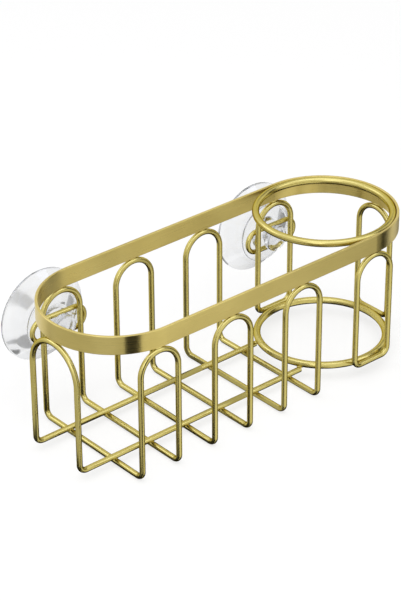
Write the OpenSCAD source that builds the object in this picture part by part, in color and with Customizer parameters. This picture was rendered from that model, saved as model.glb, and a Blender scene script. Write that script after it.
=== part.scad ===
// Wire sponge holder with a brush ring, hung on a wall by two suction cups.
// A flat strip bent to a long rounded rim carries bent wire loops below it.
// Millimetres, +X along the length, -Y the front, +Y the wall, +Z up.
// The origin is the middle of the footprint, on the level of the lowest wires.

/* [Rim] */
// Straight stretch of the rim between its two round ends
rim_straight = 138.2; // [120:0.1:180]
// Width of the rim between the middle surfaces of its long sides
rim_w = 76; // [70:0.5:90]
// Height of the rim strip
rim_h = 10; // [6:0.5:16]
// Thickness of the rim strip
rim_t = 1.5; // [1:0.1:2.4]
// Radius of the strip's rolled edges
rim_edge_r = 0.4; // [0.2:0.05:0.48]
// Height of the rim's top edge above the lowest wires
rim_top = 80.8; // [70:0.1:110]

/* [Wires] */
// Diameter of the basket wires
wire_d = 3; // [2:0.1:3.6]
// Diameter of the wire of the two brush rings
ring_wire_d = 3.8; // [3:0.1:4.6]
// Bend radius at the foot of the wire loops, on the centre line
foot_bend_r = 4; // [3:0.25:7]
// Gap that the weld fills between two wires that touch
weld_gap = 0.05; // [0.02:0.01:0.1]

/* [Basket loops] */
// Distance between the two legs of an arch, centre to centre
arch_w = 23.15; // [18:0.05:26]
// Distance between the middles of neighbouring arches
arch_pitch = 46.3; // [44:0.1:48]
// Distance from the left end arch to the middle of the first basket loop
first_loop_inset = 33.7; // [30:0.1:36]

/* [End arch and floor wires] */
// Distance between the legs of the left end arch, and so between the floor wires
end_arch_w = 34.6; // [26:0.1:44]

/* [Brush ring] */
// How far the ring's three arches stand inside the middle surface of the rim
ring_arch_inset = 0.5; // [0.2:0.05:0.9]
// Height of the lower ring's centre line above the lowest wires
low_ring_z = 7.2; // [6.8:0.1:10]
// How far the upper ring stands above the rim
ring_proud = 0.5; // [0:0.1:1.5]

/* [Cup brackets] */
// Diameter of the bracket wire
bracket_wire_d = 2.6; // [2:0.1:3]
// Length of a bracket loop over its wire
bracket_len = 35.2; // [32:0.2:44]
// Height of a bracket loop over its wire
bracket_h = 14.6; // [14.4:0.1:18]
// Height of the bracket's middle above the lowest wires
bracket_z = 49; // [40:0.1:50]

/* [Suction cups] */
// Diameter of the cup over its lip
cup_d = 50; // [44:0.5:60]
// Depth of the cup from the wall to the shoulder behind the bracket
cup_depth = 12.4; // [10:0.1:18]
// Depth of the hollow that holds the vacuum
cup_hollow_depth = 5.4; // [4.6:0.1:6]
// Width of the flat ring that seals on the wall
cup_seal_w = 1.2; // [0.8:0.1:2]
// Height of the lip's straight edge
cup_lip_h = 0.9; // [0.6:0.1:1.5]
// Diameter of the thick disc behind the shoulder
cup_disc_d = 32.5; // [28:0.5:38]
// Height of the thick disc's edge
cup_disc_h = 1.7; // [1.2:0.1:2.4]
// Diameter of the shoulder that bears on the bracket
cup_shoulder_d = 16; // [14:0.2:20]
// Diameter of the neck that passes through the bracket
cup_neck_d = 8.4; // [7:0.1:8.6]
// Diameter of the head in front of the bracket
cup_head_d = 14; // [13:0.2:16]
// Thickness of the head
cup_head_t = 4; // [3:0.1:5]
// Radius of the head's rounded edge
cup_head_round = 1.2; // [0.6:0.1:1.4]
// Play between the bracket wire and the cup's faces
cup_play = 0.3; // [0.25:0.05:0.8]

/* [Hidden] */
$fn = 64;

// Colours
brass = [0.80, 0.71, 0.38];
wire_brass = [0.86, 0.77, 0.40];
clear_vinyl = [0.88, 0.92, 0.95, 0.45];

// Radii and half widths
wire_r = wire_d / 2;
ring_wire_r = ring_wire_d / 2;
bracket_wire_r = bracket_wire_d / 2;
rim_half = rim_w / 2;
rim_outer = rim_half + rim_t / 2;
ring_arch_plane = rim_half - ring_arch_inset;

// The middle of the footprint, from the outermost surfaces
left_reach = rim_half + wire_r;
right_reach = max(rim_outer, ring_arch_plane + wire_r);
left_x = -rim_straight / 2 + (left_reach - right_reach) / 2;
right_x = left_x + rim_straight;

// Heights of the centre lines, from the lowest wires up
cross_z = wire_r;
floor_z = cross_z + wire_d + weld_gap;
arch_top_z = rim_top - rim_h - wire_r - weld_gap;
up_ring_z = rim_top + ring_proud - ring_wire_r;

// Radii of the ring's centre lines
up_ring_r = rim_half - rim_t / 2 - ring_wire_r - weld_gap;
low_ring_r = ring_arch_plane - wire_r - ring_wire_r - weld_gap;

// Middles of the basket loops along X
loop_x = [for (i = [0:2]) left_x - rim_half + first_loop_inset + i * arch_pitch];

// Depths along Y, before the footprint's middle is taken off
bracket_back_y = rim_half + wire_r + bracket_wire_r + weld_gap;
bracket_ring_y = ring_arch_plane + wire_r + bracket_wire_r + weld_gap;
head_y = min(bracket_back_y, bracket_ring_y) - bracket_wire_r - cup_play;
shoulder_y = max(bracket_back_y, bracket_ring_y) + bracket_wire_r + cup_play;
wall_y = shoulder_y + cup_depth;
middle_y = (wall_y - rim_half - wire_r) / 2;

// Where a floor wire's end meets the outside of the lower ring
function ring_side(a) =
    let (drop = low_ring_z - floor_z - wire_r * cos(a),
         bulge = sqrt(max(0, ring_wire_r * ring_wire_r - drop * drop)),
         across = end_arch_w / 2 - wire_r * sin(a))
    abs(drop) < ring_wire_r ? sqrt(pow(low_ring_r + bulge, 2) - across * across) : 0;
floor_end_x = right_x - max([for (a = [0:5:180]) ring_side(a)]) - weld_gap;

// Moves what it holds from the rim's middle to the middle of the footprint
module set_down() {
    translate([0, -middle_y, 0]) children();
}

// A straight wire along Z from one height to another
module upright(low, high, d = wire_d) {
    translate([0, 0, low]) cylinder(d = d, h = high - low);
}

// A straight wire along X that starts at the origin
module along_x(length, d = wire_d) {
    rotate([0, 90, 0]) cylinder(d = d, h = length);
}

// A straight wire along Y, centred on the origin
module along_y(length, d = wire_d) {
    rotate([90, 0, 0]) cylinder(d = d, h = length, center = true);
}

// A bent wire in the XY plane, from one angle through a turn
module bend(r, start, turn, d = wire_d) {
    rotate([0, 0, start]) rotate_extrude(angle = turn) translate([r, 0]) circle(d = d);
}

// The same bend stood up in the XZ plane
module bend_xz(r, start, turn, d = wire_d) {
    rotate([90, 0, 0]) bend(r, start, turn, d);
}

// The same bend stood up in the YZ plane
module bend_yz(r, start, turn, d = wire_d) {
    rotate([90, 0, 90]) bend(r, start, turn, d);
}

// An arch in the XZ plane: a half circle on two legs that end at foot
module arch(w, foot) {
    spring = arch_top_z - w / 2;
    translate([0, 0, spring]) bend_xz(w / 2, 0, 180);
    for (side = [-1, 1]) translate([side * w / 2, 0, 0]) upright(foot, spring);
}

// One closed wire loop of the basket: an arch in front, one behind, two wires below
module basket_loop(x) {
    set_down() translate([x, 0, 0]) {
        for (side = [-1, 1]) translate([0, side * rim_half, 0]) arch(arch_w, cross_z + foot_bend_r);
        for (side = [-1, 1]) translate([side * arch_w / 2, 0, cross_z]) {
            along_y(rim_w - 2 * foot_bend_r);
            for (end = [-1, 1])
                translate([0, end * (rim_half - foot_bend_r), foot_bend_r])
                    bend_yz(foot_bend_r, end > 0 ? 270 : 180, 90);
        }
    }
}

// One flat closed loop beside the ring: an arch with a straight bar at its foot
module ring_arch() {
    arch(arch_w, low_ring_z + foot_bend_r);
    for (side = [-1, 1])
        translate([side * (arch_w / 2 - foot_bend_r), 0, low_ring_z + foot_bend_r])
            bend_xz(foot_bend_r, side > 0 ? 270 : 180, 90);
    translate([foot_bend_r - arch_w / 2, 0, low_ring_z]) along_x(arch_w - 2 * foot_bend_r);
}

// The section of the rim strip, with its rolled edges
module strip_section() {
    flat_t = rim_t - 2 * rim_edge_r;
    flat_h = rim_h - 2 * rim_edge_r;
    square([rim_t, flat_h], center = true);
    square([flat_t, rim_h], center = true);
    for (a = [-1, 1], b = [-1, 1]) translate([a * flat_t / 2, b * flat_h / 2]) circle(r = rim_edge_r);
}

module rim_band() {
    color(brass) set_down() translate([0, 0, rim_top - rim_h / 2]) {
        for (side = [-1, 1])
            translate([left_x, side * rim_half, 0])
                rotate([90, 0, 90]) linear_extrude(height = rim_straight) strip_section();
        translate([right_x, 0, 0]) rotate([0, 0, -90])
            rotate_extrude(angle = 180) translate([rim_half, 0]) strip_section();
        translate([left_x, 0, 0]) rotate([0, 0, 90])
            rotate_extrude(angle = 180) translate([rim_half, 0]) strip_section();
    }
}

module upper_ring() {
    color(wire_brass) set_down() translate([right_x, 0, up_ring_z])
        rotate_extrude() translate([up_ring_r, 0]) circle(d = ring_wire_d);
}

module lower_ring() {
    color(wire_brass) set_down() translate([right_x, 0, low_ring_z])
        rotate_extrude() translate([low_ring_r, 0]) circle(d = ring_wire_d);
}

module basket_loop_left() {
    color(wire_brass) basket_loop(loop_x[0]);
}

module basket_loop_middle() {
    color(wire_brass) basket_loop(loop_x[1]);
}

module basket_loop_right() {
    color(wire_brass) basket_loop(loop_x[2]);
}

// The arch at the left end, whose legs turn in and run along the basket's floor
module left_end_arch() {
    end_x = left_x - rim_half;
    color(wire_brass) set_down() {
        translate([end_x, 0, 0]) rotate([0, 0, 90]) arch(end_arch_w, floor_z + foot_bend_r);
        for (side = [-1, 1]) translate([end_x + foot_bend_r, side * end_arch_w / 2, floor_z]) {
            translate([0, 0, foot_bend_r]) bend_xz(foot_bend_r, 180, 90);
            along_x(floor_end_x - end_x - foot_bend_r);
        }
    }
}

module ring_arch_front() {
    color(wire_brass) set_down() translate([right_x, -ring_arch_plane, 0]) ring_arch();
}

module ring_arch_right() {
    color(wire_brass) set_down() translate([right_x + ring_arch_plane, 0, 0]) rotate([0, 0, 90]) ring_arch();
}

module ring_arch_back() {
    color(wire_brass) set_down() translate([right_x, ring_arch_plane, 0]) ring_arch();
}

// A long wire loop with round ends, welded across the two legs of a rear arch
module cup_bracket() {
    end_r = (bracket_h - bracket_wire_d) / 2;
    run = bracket_len - bracket_h;
    translate([run / 2, 0, 0]) bend_xz(end_r, -90, 180, bracket_wire_d);
    translate([-run / 2, 0, 0]) bend_xz(end_r, 90, 180, bracket_wire_d);
    for (side = [-1, 1]) translate([-run / 2, 0, side * end_r]) along_x(run, bracket_wire_d);
}

module cup_bracket_left() {
    color(wire_brass) set_down() translate([loop_x[0], bracket_back_y, bracket_z]) cup_bracket();
}

module cup_bracket_right() {
    color(wire_brass) set_down() translate([right_x, bracket_ring_y, bracket_z]) cup_bracket();
}

// Half section of a suction cup: across is the radius, up is the distance from the wall
module cup_section() {
    seal_r = cup_d / 2 - cup_seal_w;
    hollow_r = (seal_r * seal_r + cup_hollow_depth * cup_hollow_depth) / (2 * cup_hollow_depth);
    disc_r = cup_disc_d / 2;
    disc_edge_r = cup_disc_h / 2;
    shoulder_r = cup_shoulder_d / 2;
    disc_z = cup_depth - 2 * cup_disc_h;
    head_low = cup_depth + shoulder_y - head_y;
    head_high = head_low + cup_head_t;
    head_r = cup_head_d / 2;
    difference() {
        union() {
            polygon([
                [0, 0], [cup_d / 2, 0], [cup_d / 2, cup_lip_h], [disc_r - disc_edge_r, disc_z],
                [disc_r - disc_edge_r, disc_z + cup_disc_h], [shoulder_r + cup_disc_h, disc_z + cup_disc_h],
                [shoulder_r, cup_depth], [0, cup_depth]
            ]);
            translate([disc_r - disc_edge_r, disc_z + disc_edge_r]) circle(r = disc_edge_r);
        }
        intersection() {
            translate([0, cup_hollow_depth - hollow_r]) circle(r = hollow_r, $fn = 180);
            translate([0, -cup_d]) square([cup_d, 2 * cup_d]);
        }
    }
    translate([0, cup_hollow_depth]) square([cup_neck_d / 2, head_low - cup_hollow_depth + cup_head_round]);
    translate([0, head_low]) square([head_r - cup_head_round, cup_head_t]);
    translate([0, head_low + cup_head_round]) square([head_r, cup_head_t - 2 * cup_head_round]);
    for (z = [head_low + cup_head_round, head_high - cup_head_round])
        translate([head_r - cup_head_round, z]) circle(r = cup_head_round);
}

// One clear cup, its lip on the wall and its head in front of the bracket
module suction_cup(x) {
    color(clear_vinyl) set_down() translate([x, wall_y, bracket_z])
        rotate([90, 0, 0]) rotate_extrude() cup_section();
}

module suction_cup_left() {
    suction_cup(loop_x[0]);
}

module suction_cup_right() {
    suction_cup(right_x);
}

rim_band();
upper_ring();
lower_ring();
basket_loop_left();
basket_loop_middle();
basket_loop_right();
left_end_arch();
ring_arch_front();
ring_arch_right();
ring_arch_back();
cup_bracket_left();
cup_bracket_right();
suction_cup_left();
suction_cup_right();
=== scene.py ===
import math

import bmesh
import bpy
from mathutils import Matrix, Vector


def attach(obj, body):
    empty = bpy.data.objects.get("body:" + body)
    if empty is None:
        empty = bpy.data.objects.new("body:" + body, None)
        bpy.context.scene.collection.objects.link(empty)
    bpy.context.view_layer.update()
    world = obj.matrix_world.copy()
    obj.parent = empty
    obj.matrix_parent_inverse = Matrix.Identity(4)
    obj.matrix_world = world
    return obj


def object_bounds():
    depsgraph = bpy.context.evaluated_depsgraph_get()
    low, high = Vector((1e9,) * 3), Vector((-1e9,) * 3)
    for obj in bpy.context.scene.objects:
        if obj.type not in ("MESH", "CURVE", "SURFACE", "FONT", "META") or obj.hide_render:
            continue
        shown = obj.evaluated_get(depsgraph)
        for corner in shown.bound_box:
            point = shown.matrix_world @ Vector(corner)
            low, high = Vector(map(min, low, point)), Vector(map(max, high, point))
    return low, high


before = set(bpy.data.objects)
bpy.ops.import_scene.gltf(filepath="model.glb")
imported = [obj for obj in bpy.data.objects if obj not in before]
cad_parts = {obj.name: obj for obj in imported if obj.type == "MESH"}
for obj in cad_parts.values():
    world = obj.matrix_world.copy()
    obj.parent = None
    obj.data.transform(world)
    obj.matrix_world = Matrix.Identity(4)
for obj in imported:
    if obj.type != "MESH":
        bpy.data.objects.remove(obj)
cad_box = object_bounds()
scene = bpy.context.scene
scene.view_settings.view_transform = "Standard"

# Sizes in metres, the same as the CAD model's
LEFT_X, RIGHT_X = -0.06885, 0.06935
MID_Y = -0.007675
HALF_W = 0.038
WIRE_R, RING_R = 0.0015, 0.0019
LOOPS_X = (-0.07315, -0.02685, 0.01945)
HALF_ARCH = 0.011575
HALF_END = 0.0173
FLOOR_Z, FLOOR_END_X = 0.00455, 0.038
ARCH_TOP = 0.06925
LOW_RING_Z, UP_RING_Z = 0.0072, 0.0794
LOW_RING_RAD, UP_RING_RAD = 0.03405, 0.0353
RING_ARCH = 0.0375
BRACKET_Z, BRACKET_RAIL = 0.049, 0.006

# The photograph's own view, solved from the wires' positions: angles in degrees, the aim and
# the distance in metres, the focal length and the photograph's width in its pixels, and the
# sensor in millimetres
VIEW_AZ, VIEW_EL, VIEW_ROLL = -40.621, 29.716, -0.283
AIM = (-0.014825, MID_Y, 0.057985)
DISTANCE = 1.1367
FOCAL_PX, PHOTO_PX, SENSOR_MM = 2277.94, 401.0, 36.0

# Linear colours. The tones are pairs, and the material drifts between the two.
STRIP_TONES = (0.625, 0.500, 0.160), (0.685, 0.552, 0.182)
WIRE_TONES = (0.575, 0.482, 0.150), (0.645, 0.550, 0.184)
WIRE_EDGE_TINT = (0.5, 0.4, 0.15, 1.0)
VINYL_TONES = (0.93, 0.935, 0.945), (0.965, 0.97, 0.975)
VINYL_DEPTH = (0.35, 0.37, 0.40, 1.0)
WHITE = (1.0, 1.0, 1.0, 1.0)

# Noise that is the same size in every direction
EVEN = (1.0, 1.0, 1.0)

# How far beads stand from the wires' own places: down from the upper ring, inwards from a
# bracket's rails, and along X, inwards and up from the ends of the floor wires. Those at the
# floor wires' ends are turned too, by an angle in radians.
UP_RING_DROP, RAIL_INSET = 0.0002, 0.0001
FLOOR_END_OUT, FLOOR_END_IN, FLOOR_END_UP = 0.0006, 0.0007, 0.0010
FLOOR_END_TURN = 0.5

# Half sizes of the weld beads along X, Y and Z. On a ring they are outward, along it and up.
SEAM_BEAD = (0.0026, 0.00072, 0.00045)
END_SEAM_BEAD = (0.00072, 0.0026, 0.00045)
CROSSING_BEAD = (0.00105, 0.00105, 0.0005)
RING_SEAM_BEAD = (0.0005, 0.0026, 0.00045)
LOW_RING_BEAD = (0.0005, 0.0030, 0.0009)
UP_RING_BEAD = (0.0005, 0.0032, 0.0009)
FLOOR_END_BEAD = (0.0017, 0.0014, 0.0008)
BRACKET_BEAD = (0.00095, 0.0005, 0.00095)
RING_ARCHES_AT = (-90, 0, 90)
UP_RING_WELDS_AT = (-75, -25, 25, 75)

# The floor: half its side, its gap under the lowest wires, and how white it looks at the
# distances from the middle between which its shadow fades out
FLOOR_TONE = (0.86, 0.86, 0.86, 1.0)
FLOOR_HALF, FLOOR_GAP = 6.0, 0.0002
SHADOW_NEAR, SHADOW_FAR = 0.4, 2.5
WHITE_NEAR, WHITE_FAR = 0.7, 1.0

# The cards round the holder. Those brighter than white have a cool tone.
FLAG_RADIUS, FLAG_CELLS = 2.0, 12
HOLDER_MIDDLE = (0.0, 0.0, 0.05)
PLAIN, COOL = (1.0, 1.0, 1.0), (1.0, 1.05, 1.3)
BLACK, DARK, SHADE = 0.005, 0.02, 0.03

# Where two near cards meet on the plan, and the height just under the lowest wires at which
# two of the low cards end
CORNER = (-0.112, -0.085)
INSIDE_SPLIT = (0.0, MID_Y + 0.025)
BELOW_WIRES = -0.001

# How far the veils stand from their suction cup
VEIL_FAR, VEIL_BLANK, VEIL_NEAR = 1.0, 0.17, 0.15


def camera():
    az, el, roll = (math.radians(v) for v in (VIEW_AZ, VIEW_EL, VIEW_ROLL))
    back = Vector((math.sin(az) * math.cos(el), -math.cos(az) * math.cos(el), math.sin(el)))
    level = Vector((math.cos(az), math.sin(az), 0.0))
    rise = back.cross(level)
    right = math.cos(roll) * level + math.sin(roll) * rise
    up = math.cos(roll) * rise - math.sin(roll) * level
    data = bpy.data.cameras.new("camera")
    data.sensor_fit = "HORIZONTAL"
    data.sensor_width = SENSOR_MM
    data.lens = FOCAL_PX * SENSOR_MM / PHOTO_PX
    data.clip_start, data.clip_end = 0.05, 50.0
    obj = bpy.data.objects.new("camera", data)
    scene.collection.objects.link(obj)
    m = Matrix((right, up, back)).transposed().to_4x4()
    m.translation = Vector(AIM) + DISTANCE * back
    obj.matrix_world = m
    scene.camera = obj


def tree(name):
    # A material with nothing in it but its output
    mat = bpy.data.materials.new(name)
    mat.use_nodes = True
    nt = mat.node_tree
    nt.nodes.clear()
    out = nt.nodes.new("ShaderNodeOutputMaterial")
    return mat, nt, out


def principled(nt, out, values):
    # The Principled shader on the output, with these values in its inputs
    p = nt.nodes.new("ShaderNodeBsdfPrincipled")
    for name, value in values.items():
        p.inputs[name].default_value = value
    nt.links.new(p.outputs["BSDF"], out.inputs["Surface"])
    return p


def noise(nt, scale, size, detail, rough=0.55):
    # Noise over the object's own coordinates, stretched by scale
    tc = nt.nodes.new("ShaderNodeTexCoord")
    mp = nt.nodes.new("ShaderNodeMapping")
    mp.inputs["Scale"].default_value = scale
    n = nt.nodes.new("ShaderNodeTexNoise")
    n.inputs["Scale"].default_value = size
    n.inputs["Detail"].default_value = detail
    n.inputs["Roughness"].default_value = rough
    nt.links.new(tc.outputs["Object"], mp.inputs["Vector"])
    nt.links.new(mp.outputs["Vector"], n.inputs["Vector"])
    return n.outputs["Fac"]


def spread(nt, value, low, high, start=0.3, end=0.7):
    # The value from start to end, laid out from low to high
    m = nt.nodes.new("ShaderNodeMapRange")
    m.inputs["From Min"].default_value = start
    m.inputs["From Max"].default_value = end
    m.inputs["To Min"].default_value = low
    m.inputs["To Max"].default_value = high
    nt.links.new(value, m.inputs["Value"])
    return m.outputs["Result"]


def tint(nt, value, tones, start=0.3, end=0.7):
    # The value from start to end as a colour between two tones
    r = nt.nodes.new("ShaderNodeValToRGB")
    for element, place, tone in zip(r.color_ramp.elements, (start, end), tones):
        element.position = place
        element.color = (*tone, 1.0)
    nt.links.new(value, r.inputs["Fac"])
    return r.outputs["Color"]


def bump(nt, value, strength, distance):
    b = nt.nodes.new("ShaderNodeBump")
    b.inputs["Strength"].default_value = strength
    b.inputs["Distance"].default_value = distance
    nt.links.new(value, b.inputs["Height"])
    return b.outputs["Normal"]


def strip_gold():
    # Brushed along the strip: fine lines that run round the rim, and slow cloudy tone
    mat, nt, out = tree("strip_gold")
    p = principled(nt, out, {"Metallic": 1.0, "Anisotropic": 0.95, "Anisotropic Rotation": 0.25})
    lines = noise(nt, (14.0, 14.0, 3200.0), 1.0, 5.0, 0.65)
    cloud = noise(nt, (1.0, 1.0, 2.0), 45.0, 3.0)
    nt.links.new(tint(nt, cloud, STRIP_TONES), p.inputs["Base Color"])
    nt.links.new(spread(nt, lines, 0.26, 0.34), p.inputs["Roughness"])
    nt.links.new(bump(nt, lines, 0.12, 0.00003), p.inputs["Normal"])
    turn = nt.nodes.new("ShaderNodeTangent")
    turn.direction_type = "RADIAL"
    turn.axis = "Z"
    nt.links.new(turn.outputs["Tangent"], p.inputs["Tangent"])
    return mat


def wire_gold():
    # Satin coat over drawn wire: a fine grain and a faint cloud in the tone
    mat, nt, out = tree("wire_gold")
    p = principled(nt, out, {"Metallic": 1.0, "Specular Tint": WIRE_EDGE_TINT})
    grain = noise(nt, EVEN, 3800.0, 2.0)
    cloud = noise(nt, EVEN, 70.0, 3.0)
    nt.links.new(tint(nt, cloud, WIRE_TONES), p.inputs["Base Color"])
    nt.links.new(spread(nt, cloud, 0.23, 0.29), p.inputs["Roughness"])
    nt.links.new(bump(nt, grain, 0.015, 0.00001), p.inputs["Normal"])
    return mat


def clear_vinyl():
    # Clear soft vinyl, faintly uneven as moulded and greyer with depth
    mat, nt, out = tree("clear_vinyl_soft")
    p = principled(nt, out, {"Transmission Weight": 1.0, "IOR": 1.45})
    ripple = noise(nt, EVEN, 60.0, 2.0)
    fine = noise(nt, EVEN, 900.0, 2.0)
    nt.links.new(tint(nt, ripple, VINYL_TONES), p.inputs["Base Color"])
    nt.links.new(spread(nt, fine, 0.04, 0.08), p.inputs["Roughness"])
    nt.links.new(bump(nt, ripple, 0.05, 0.0006), p.inputs["Normal"])
    depth = nt.nodes.new("ShaderNodeVolumeAbsorption")
    depth.inputs["Color"].default_value = VINYL_DEPTH
    depth.inputs["Density"].default_value = 22.0
    nt.links.new(depth.outputs["Volume"], out.inputs["Volume"])
    return mat


def bead(bm, at, radii, turn=0.0):
    # One small rounded bead of weld, turned about Z
    m = Matrix.Translation(at) @ Matrix.Rotation(turn, 4, "Z") @ Matrix.Diagonal((*radii, 1.0))
    bmesh.ops.create_uvsphere(bm, u_segments=20, v_segments=12, radius=1.0, matrix=m)


def ring_bead(bm, radius, degrees, z, radii):
    # A bead at an angle round the rings' own axis
    a = math.radians(degrees)
    bead(bm, (RIGHT_X + radius * math.cos(a), MID_Y + radius * math.sin(a), z), radii, a)


def basket_beads(bm):
    # Under the strip at each arch's top, and where the cross wires meet the long floor wires
    seam = ARCH_TOP + WIRE_R
    for x in LOOPS_X:
        for s in (-1, 1):
            bead(bm, (x, MID_Y + s * HALF_W, seam), SEAM_BEAD)
            for t in (-1, 1):
                at = (x + s * HALF_ARCH, MID_Y + t * HALF_END, FLOOR_Z - WIRE_R)
                bead(bm, at, CROSSING_BEAD)
    bead(bm, (LEFT_X - HALF_W, MID_Y, seam), END_SEAM_BEAD)


def ring_beads(bm):
    # The ring arches under the strip and on the lower ring, and the upper ring in the strip
    for degrees in RING_ARCHES_AT:
        ring_bead(bm, RING_ARCH, degrees, ARCH_TOP + WIRE_R, RING_SEAM_BEAD)
        ring_bead(bm, LOW_RING_RAD + RING_R, degrees, LOW_RING_Z, LOW_RING_BEAD)
    for degrees in UP_RING_WELDS_AT:
        ring_bead(bm, UP_RING_RAD + RING_R, degrees, UP_RING_Z - UP_RING_DROP, UP_RING_BEAD)


def floor_end_beads(bm):
    # Where the two long floor wires end on the lower ring
    x, z = FLOOR_END_X + FLOOR_END_OUT, FLOOR_Z + FLOOR_END_UP
    for s in (-1, 1):
        at = (x, MID_Y + s * (HALF_END - FLOOR_END_IN), z)
        bead(bm, at, FLOOR_END_BEAD, s * FLOOR_END_TURN)


def bracket_beads(bm):
    # Where each cup bracket's rails cross the legs of the arch behind
    for x, y in ((LOOPS_X[0], HALF_W), (RIGHT_X, RING_ARCH)):
        for s in (-1, 1):
            for t in (-1, 1):
                rail = BRACKET_Z + t * (BRACKET_RAIL - RAIL_INSET)
                bead(bm, (x + s * HALF_ARCH, MID_Y + y + WIRE_R, rail), BRACKET_BEAD)


def welds(mat):
    # The little fillets of metal where wires meet each other, the strip and the rings
    bm = bmesh.new()
    basket_beads(bm)
    ring_beads(bm)
    floor_end_beads(bm)
    bracket_beads(bm)
    mesh = bpy.data.meshes.new("weld_beads")
    bm.to_mesh(mesh)
    bm.free()
    for f in mesh.polygons:
        f.use_smooth = True
    mesh.materials.append(mat)
    obj = bpy.data.objects.new("weld_beads", mesh)
    scene.collection.objects.link(obj)
    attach(obj, "holder")


def seen(nt):
    # 1 for what the camera sees straight, in metal or through clear vinyl
    path = nt.nodes.new("ShaderNodeLightPath")
    add = nt.nodes.new("ShaderNodeMath")
    add.operation = "ADD"
    nt.links.new(path.outputs["Is Camera Ray"], add.inputs[0])
    nt.links.new(path.outputs["Is Glossy Ray"], add.inputs[1])
    more = nt.nodes.new("ShaderNodeMath")
    more.operation = "ADD"
    more.use_clamp = True
    nt.links.new(add.outputs[0], more.inputs[0])
    nt.links.new(path.outputs["Is Transmission Ray"], more.inputs[1])
    return more.outputs[0]


def pale_floor():
    # Matt pale grey as light. Where it is seen it is mostly white, so that only a faint shadow
    # shows near the holder and none further out.
    mat, nt, out = tree("pale_floor")
    matt = nt.nodes.new("ShaderNodeBsdfDiffuse")
    matt.inputs["Color"].default_value = FLOOR_TONE
    white = nt.nodes.new("ShaderNodeEmission")
    tc = nt.nodes.new("ShaderNodeTexCoord")
    reach = nt.nodes.new("ShaderNodeVectorMath")
    reach.operation = "LENGTH"
    nt.links.new(tc.outputs["Object"], reach.inputs[0])
    part = nt.nodes.new("ShaderNodeMath")
    part.operation = "MULTIPLY"
    nt.links.new(seen(nt), part.inputs[0])
    fade = spread(nt, reach.outputs["Value"], WHITE_NEAR, WHITE_FAR, SHADOW_NEAR, SHADOW_FAR)
    nt.links.new(fade, part.inputs[1])
    mix = nt.nodes.new("ShaderNodeMixShader")
    nt.links.new(part.outputs[0], mix.inputs["Fac"])
    nt.links.new(matt.outputs["BSDF"], mix.inputs[1])
    nt.links.new(white.outputs["Emission"], mix.inputs[2])
    nt.links.new(mix.outputs["Shader"], out.inputs["Surface"])
    return mat


def floor():
    h = FLOOR_HALF
    mesh = bpy.data.meshes.new("floor")
    mesh.from_pydata([(-h, -h, 0), (h, -h, 0), (h, h, 0), (-h, h, 0)], [], [(0, 1, 2, 3)])
    mesh.materials.append(pale_floor())
    obj = bpy.data.objects.new("floor", mesh)
    obj.location.z = cad_box[0][2] - FLOOR_GAP
    obj.visible_glossy = False
    obj.visible_transmission = False
    scene.collection.objects.link(obj)


def toward(az, el):
    # The direction at an azimuth from the front, to the right, and an elevation, in degrees
    a, e = math.radians(az), math.radians(el)
    return Vector((math.sin(a) * math.cos(e), -math.cos(a) * math.cos(e), math.sin(e)))


def card(name, points, faces, shade, middle):
    # A card that glows at this shade, hidden from the camera and without light on the object
    mat, nt, out = tree(name)
    glow = nt.nodes.new("ShaderNodeEmission")
    tone = COOL if shade > 1.0 else PLAIN
    glow.inputs["Color"].default_value = (*(shade * c for c in tone), 1.0)
    nt.links.new(glow.outputs["Emission"], out.inputs["Surface"])
    mesh = bpy.data.meshes.new(name)
    mesh.from_pydata(points, [], faces)
    mesh.materials.append(mat)
    obj = bpy.data.objects.new(name, mesh)
    obj.location = middle
    obj.visible_camera = False
    obj.visible_diffuse = False
    obj.visible_shadow = False
    scene.collection.objects.link(obj)
    return obj


def flag(name, az, el, shade):
    # A curved card, part of a sphere round the holder, seen only in its metal
    n = FLAG_CELLS
    spots = [(az[0] + (az[1] - az[0]) * i / n, el[0] + (el[1] - el[0]) * j / n)
             for i in range(n + 1) for j in range(n + 1)]
    corners = [i * (n + 1) + j for i in range(n) for j in range(n)]
    faces = [(k, k + 1, k + n + 2, k + n + 1) for k in corners]
    points = [FLAG_RADIUS * toward(*s) for s in spots]
    card(name, points, faces, shade, HOLDER_MIDDLE).visible_transmission = False


def screen(name, a, b, bottom, top, shade):
    # An upright card close to the wires, between two points on the plan, seen only in metal
    points = [(*a, bottom), (*b, bottom), (*b, top), (*a, top)]
    card(name, points, [(0, 1, 2, 3)], shade, (0.0, 0.0, 0.0)).visible_transmission = False


def veil(name, x, away, corners, shade):
    # A grey card so far from the suction cup at x, seen only through clear vinyl
    points = [away * toward(*c) for c in corners]
    middle = (x, MID_Y + HALF_W, BRACKET_Z)
    card(name, points, [range(len(corners))], shade, middle).visible_glossy = False


def strip_cards():
    # The dark upright bars on the strip's front and right end, and inside its left end
    screen("card_front", CORNER, (-0.0858, -0.0936), -0.08, 0.145, BLACK)
    for i, shade in enumerate((0.8, 0.55, 0.3)):
        flag(f"card_fade_{i}", (42 + 3 * i, 45 + 3 * i), (-50, 20), shade)
    flag("card_right", (51, 72), (-89, 40), 0.01)
    for i, shade in enumerate((0.85, 0.8, 0.6, 0.3)):
        flag(f"card_dim_{i}", (77 + 8 * i, 85 + 8 * i), (-40, -14), shade)
    screen("card_inside", (0.0, MID_Y - 0.036), INSIDE_SPLIT, -0.02, 0.05, 0.6)
    screen("card_inside_end", INSIDE_SPLIT, (0.0, MID_Y + 0.042), -0.02, 0.042, 0.15)


def low_cards():
    # The dark side of the upright wires
    screen("card_low_front", CORNER, (-0.165, -0.045), -0.13, -0.027, SHADE)
    screen("card_low_left", (-0.13, -0.035), (-0.13, 0.06), -0.14, BELOW_WIRES, SHADE)
    screen("card_low_middle", (-0.06, -0.045), (-0.06, 0.015), -0.08, BELOW_WIRES, SHADE)


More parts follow.
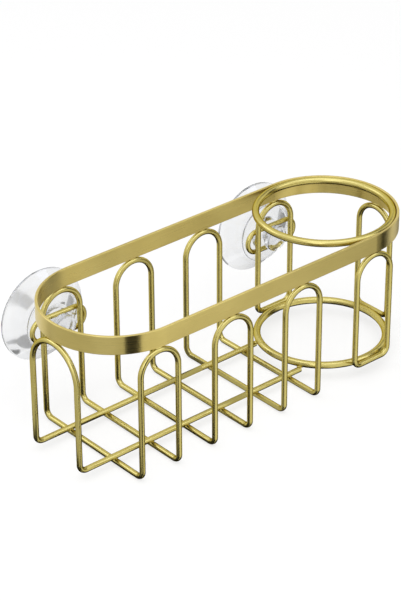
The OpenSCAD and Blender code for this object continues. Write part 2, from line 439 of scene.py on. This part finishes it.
def side_cards():
    # Dark and grey cards at the sides and back, and bright ones higher up
    flag("card_low_right", (109, 135), (-40, -14), SHADE)
    flag("card_left", (-150, -30), (-43, -5), 0.67)
    flag("card_back", (92, 128), (30, 50), 0.25)
    flag("box_top", (-150, 60), (54, 88), 1.8)
    flag("box_front", (-70, -42), (14, 45), 2.2)
    flag("strip_front_right", (28, 51), (27, 47), 2.1)
    flag("strip_back_left", (-172, -126), (26, 44), 2.1)


def under_cards():
    # Dark cards below, for the underside of the wires
    flag("card_under_left", (-150, -26), (-89, -43), DARK)
    flag("card_under_front", (-3, 51), (-89, -50), DARK)
    flag("card_under_corner", (72, 77), (-89, -36), DARK)
    flag("card_under_right", (77, 135), (-89, -40), DARK)
    flag("card_under_back", (135, 210), (-89, -35), DARK)


def left_veils():
    # The left cup's soft grey patches
    x = LOOPS_X[0]
    wedge = [(140.0, -31.9), (140.0, -32.4), (135.0, -35.7), (130.5, -38.0), (130.5, -35.9)]
    veil("veil_wedge", x, VEIL_FAR, wedge, 0.62)
    low = [(137.8, -29.2), (132.9, -29.2), (130.9, -29.9), (124.0, -31.2), (122.0, -22.0),
           (133.2, -21.7), (133.8, -24.4), (134.3, -27.9), (137.3, -28.7)]
    veil("veil_low", x, VEIL_FAR, low, 0.45)
    rim = [(138.6, -28.0), (137.2, -26.8), (135.4, -25.2), (137.0, -24.4), (139.8, -24.4)]
    veil("veil_rim", x, VEIL_FAR, rim, 0.25)


def right_veils():
    # A white card that covers what lies behind the right cup, and its two soft grey patches
    blank = [(116.0, -8.0), (154.0, -8.0), (154.0, -52.0), (116.0, -52.0)]
    veil("veil_blank", RIGHT_X, VEIL_BLANK, blank, 1.0)
    right = [(112.0, -26.0), (125.0, -26.0), (125.0, -14.0), (112.0, -14.0)]
    veil("veil_right", RIGHT_X, VEIL_NEAR, right, 0.45)
    edge = [(68.0, -32.0), (92.0, -32.0), (92.0, -16.0), (68.0, -16.0)]
    veil("veil_edge", RIGHT_X, VEIL_NEAR, edge, 0.35)


def lamp(name, at, to, size, watts):
    # A soft rectangular lamp, left out of reflections
    data = bpy.data.lights.new(name, "AREA")
    data.shape = "RECTANGLE"
    data.size, data.size_y = size
    data.energy = watts
    obj = bpy.data.objects.new(name, data)
    obj.location = at
    obj.rotation_euler = (Vector(to) - Vector(at)).to_track_quat("-Z", "Y").to_euler()
    obj.visible_glossy = False
    scene.collection.objects.link(obj)


def studio():
    # A pale world. As light it is bright above and dimmer towards the sides and below, and
    # where it is seen it is white.
    world = bpy.data.worlds.new("studio")
    scene.world = world
    world.use_nodes = True
    nt = world.node_tree
    nt.nodes.clear()
    out = nt.nodes.new("ShaderNodeOutputWorld")
    tc = nt.nodes.new("ShaderNodeTexCoord")
    xyz = nt.nodes.new("ShaderNodeSeparateXYZ")
    nt.links.new(tc.outputs["Generated"], xyz.inputs["Vector"])
    ramp = nt.nodes.new("ShaderNodeValToRGB")
    ramp.color_ramp.interpolation = "EASE"
    stops = ramp.color_ramp.elements
    stops[0].position, stops[0].color = 0.0, (0.16, 0.16, 0.16, 1.0)
    stops[1].position, stops[1].color = 1.0, (0.95, 0.95, 0.95, 1.0)
    stops.new(0.35).color = (0.45, 0.45, 0.45, 1.0)
    nt.links.new(xyz.outputs["Z"], ramp.inputs["Fac"])
    soft = nt.nodes.new("ShaderNodeBackground")
    nt.links.new(ramp.outputs["Color"], soft.inputs["Color"])
    white = nt.nodes.new("ShaderNodeBackground")
    white.inputs["Color"].default_value = WHITE
    mix = nt.nodes.new("ShaderNodeMixShader")
    nt.links.new(seen(nt), mix.inputs["Fac"])
    nt.links.new(soft.outputs["Background"], mix.inputs[1])
    nt.links.new(white.outputs["Background"], mix.inputs[2])
    nt.links.new(mix.outputs["Shader"], out.inputs["Surface"])


def light():
    studio()
    lamp("softbox_top", (-0.3, -0.2, 1.3), (0, 0, 0.03), (2.2, 1.7), 17.0)
    lamp("softbox_front", (-1.3, -0.9, 0.9), (0, 0, 0.04), (0.9, 0.9), 4.2)
    strip_cards()
    low_cards()
    side_cards()
    under_cards()
    left_veils()
    right_veils()


camera()
strip, wire, vinyl = strip_gold(), wire_gold(), clear_vinyl()
for name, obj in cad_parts.items():
    mat = strip if name == "rim_band" else vinyl if name.startswith("suction_cup") else wire
    obj.data.materials.clear()
    obj.data.materials.append(mat)
welds(wire)
floor()
light()
